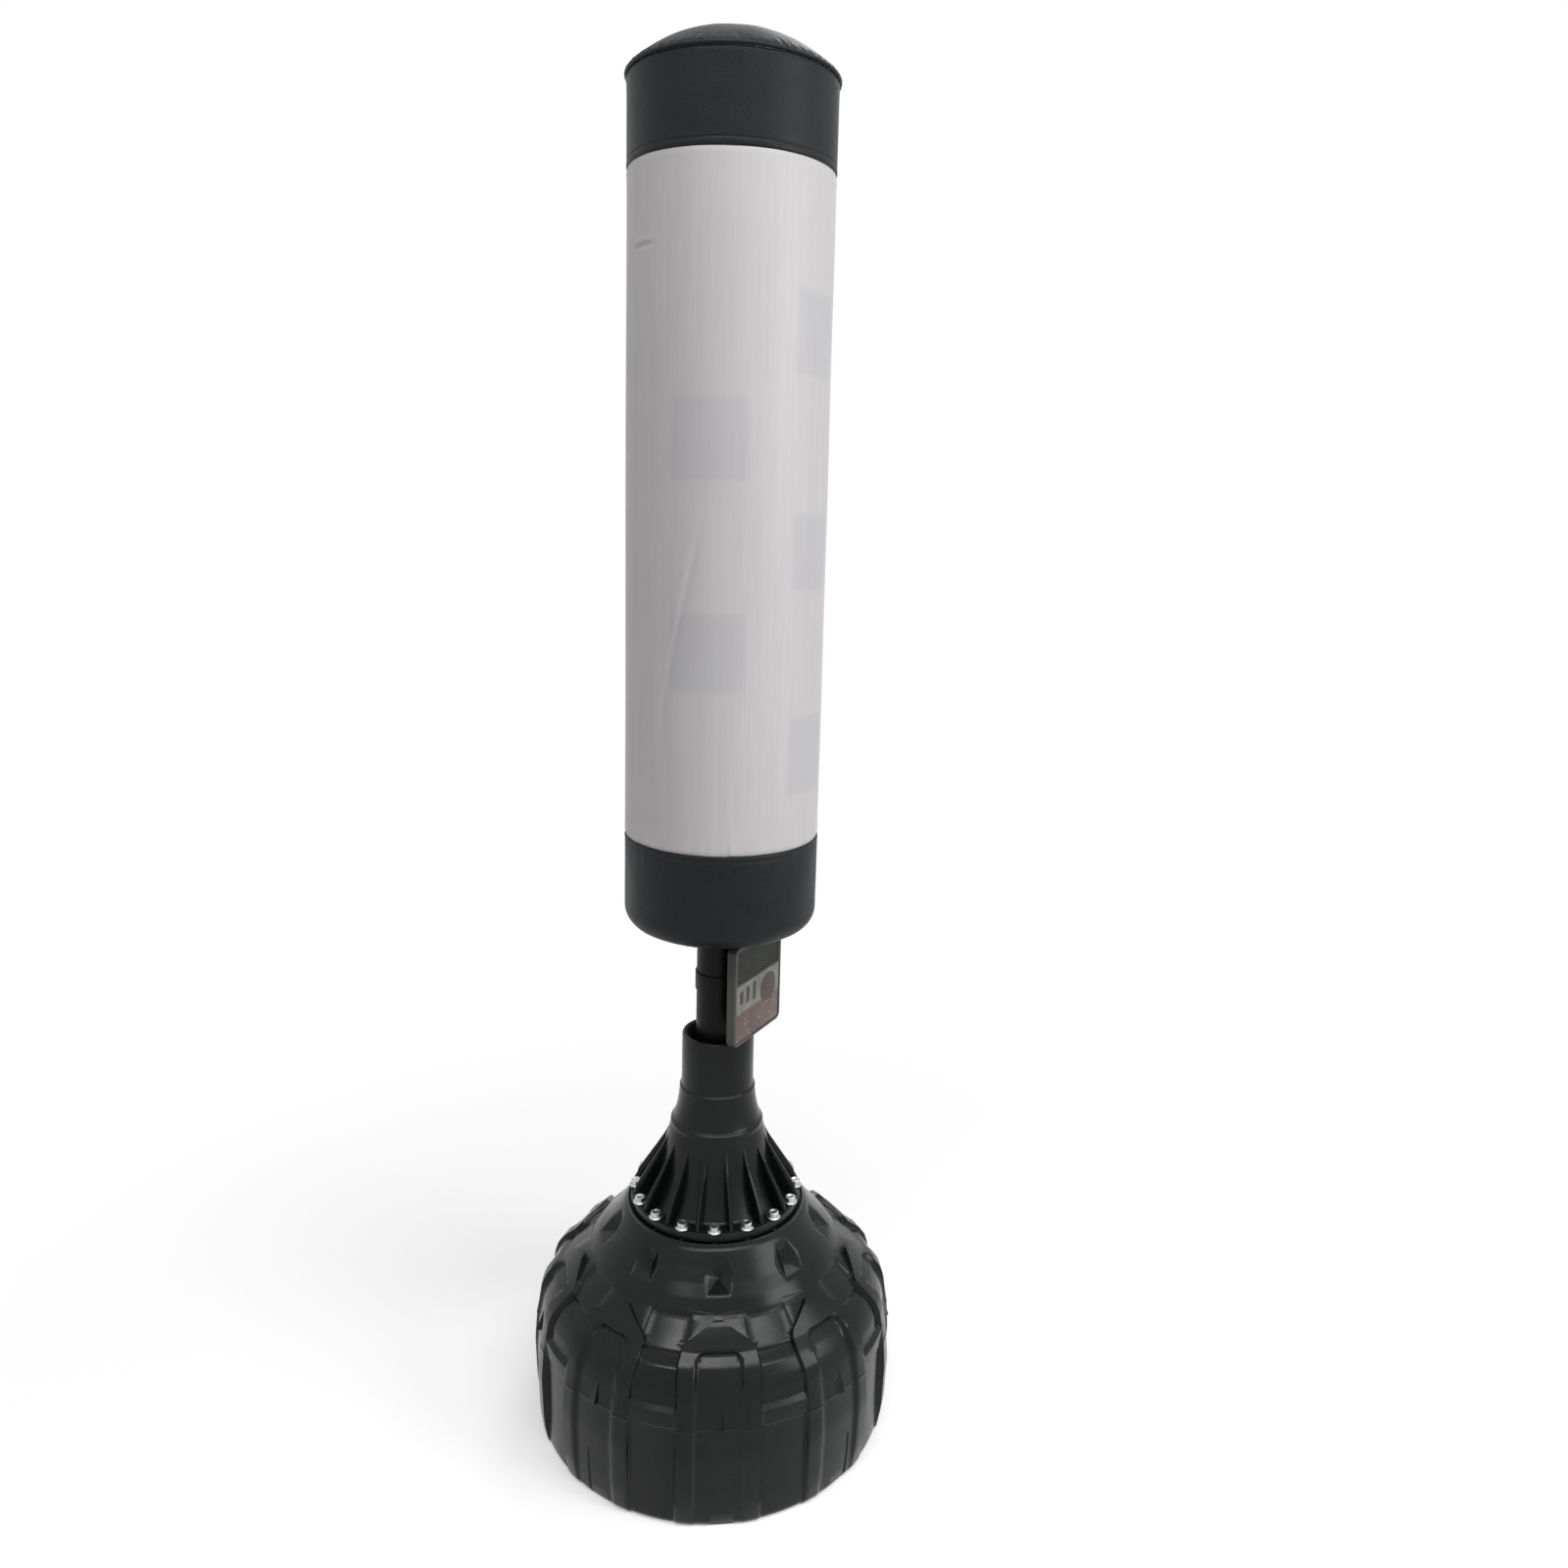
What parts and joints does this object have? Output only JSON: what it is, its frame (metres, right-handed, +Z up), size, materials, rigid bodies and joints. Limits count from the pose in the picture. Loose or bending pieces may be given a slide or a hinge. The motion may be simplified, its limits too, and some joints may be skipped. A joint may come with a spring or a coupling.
{
  "type": "free-standing punching bag",
  "caption": "Free-standing punching bag: padded cylinder on a sprung post, in a bolted ribbed neck on a heavy hollow base tank that is filled for ballast, with a small panel on the post.",
  "frame": {"origin": "on the floor, on the bag's axis: the centre of the bounding box's bottom face", "axes": "+Z up along the post, -Y towards the pictured front, +X to the right seen from the front"},
  "size_m": [0.4946, 0.4946, 1.787],
  "materials": {
    "tank_polyethylene": "moulded polyethylene with a soft satin sheen",
    "neck_nylon": "moulded glass-filled nylon, satin",
    "black_plastic": "moulded plastic, fine grain",
    "black_rubber": "moulded rubber, dull",
    "zinc_plated_steel": "bright zinc plating",
    "black_painted_steel": "black powder coat",
    "spring_steel": "bare spring steel, oiled",
    "black_coated_leather": "coated leather cloth with a fine grain",
    "pale_satin": "smooth pale satin weave",
    "pale_foam": "cut soft foam",
    "grey_felt": "pressed felt",
    "grey_pvc": "extruded pipe",
    "woven_zip_tape": "woven tape with nylon coils",
    "die_cast_zinc": "tumbled die casting",
    "grey_panel_plastic": "moulded grey plastic",
    "printed_panel_face": "plain printed bands",
    "dark_grille": "perforated dark plastic"
  },
  "bodies": {
    "base": {"base_tank": "tank_polyethylene", "filler_neck": "black_plastic", "tank_gasket": "black_rubber", "spring_base_plate": "black_painted_steel", "spring_pedestal": "black_painted_steel", "neck": "neck_nylon", "neck_liner": "black_rubber", "coil_spring": "spring_steel", "flange_bolt_01": "zinc_plated_steel", "flange_bolt_02": "zinc_plated_steel", "flange_bolt_03": "zinc_plated_steel", "flange_bolt_04": "zinc_plated_steel", "flange_bolt_05": "zinc_plated_steel", "flange_bolt_06": "zinc_plated_steel", "flange_bolt_07": "zinc_plated_steel", "flange_bolt_08": "zinc_plated_steel", "flange_bolt_09": "zinc_plated_steel", "flange_bolt_10": "zinc_plated_steel", "flange_bolt_11": "zinc_plated_steel", "flange_bolt_12": "zinc_plated_steel", "flange_bolt_13": "zinc_plated_steel", "flange_bolt_14": "zinc_plated_steel", "flange_bolt_15": "zinc_plated_steel", "flange_bolt_16": "zinc_plated_steel"},
    "buffer": {"rubber_buffer": "black_rubber"},
    "post": {"upper_spring_seat": "black_painted_steel", "post_tube": "black_painted_steel", "post_plug": "black_plastic", "bag_support_plate": "black_painted_steel", "bag_core_tube": "grey_pvc", "bag_foam": "pale_foam", "bag_padding": "grey_felt", "cover_bottom": "black_coated_leather", "cover_sleeve": "pale_satin", "cover_top_band": "black_coated_leather", "top_piping": "black_coated_leather", "top_cap": "black_coated_leather", "top_pad": "pale_foam", "zip_tape": "woven_zip_tape", "panel_clamp": "black_painted_steel", "clamp_screw": "zinc_plated_steel", "panel_housing": "grey_panel_plastic", "panel_face": "printed_panel_face", "panel_grille": "dark_grille"},
    "filler_seal": {"filler_gasket": "black_rubber"},
    "filler_cap": {"filler_cap": "black_plastic"},
    "zip_slider": {"zip_slider": "die_cast_zinc"},
    "zip_pull": {"zip_pull": "die_cast_zinc"}
  },
  "joints": [
    {"name": "tilt_front", "type": "hinge", "parent": "base", "child": "buffer", "pos_m": [0, 0, 0.4], "axis": [1, 0, 0], "range_deg": [-3, 3], "stiffness_Nm_per_rad": 600, "deforming": ["coil_spring"]},
    {"name": "tilt_side", "type": "hinge", "parent": "buffer", "child": "post", "pos_m": [0, 0, 0.4], "axis": [0, 1, 0], "range_deg": [-3, 3], "stiffness_Nm_per_rad": 600, "deforming": ["coil_spring"]},
    {"name": "cap_lift", "type": "slide", "parent": "base", "child": "filler_seal", "axis": [-0.0625, 0.7149, 0.6964], "range_m": [0, 0.008]},
    {"name": "cap_turn", "type": "hinge", "parent": "filler_seal", "child": "filler_cap", "pos_m": [-0.01307, 0.1494, 0.26742], "axis": [-0.0625, 0.7149, 0.6964], "range_deg": [0, 720]},
    {"name": "zip_run", "type": "slide", "parent": "post", "child": "zip_slider", "axis": [0, 0, 1], "range_m": [0, 0.93]},
    {"name": "pull_swing", "type": "hinge", "parent": "zip_slider", "child": "zip_pull", "pos_m": [0, 0.132, 0.756], "axis": [1, 0, 0], "range_deg": [0, 90]}
  ],
  "couplings": [
    {"joint": "cap_turn", "follows": "cap_lift", "rad_per_m": 1570.8}
  ]
}
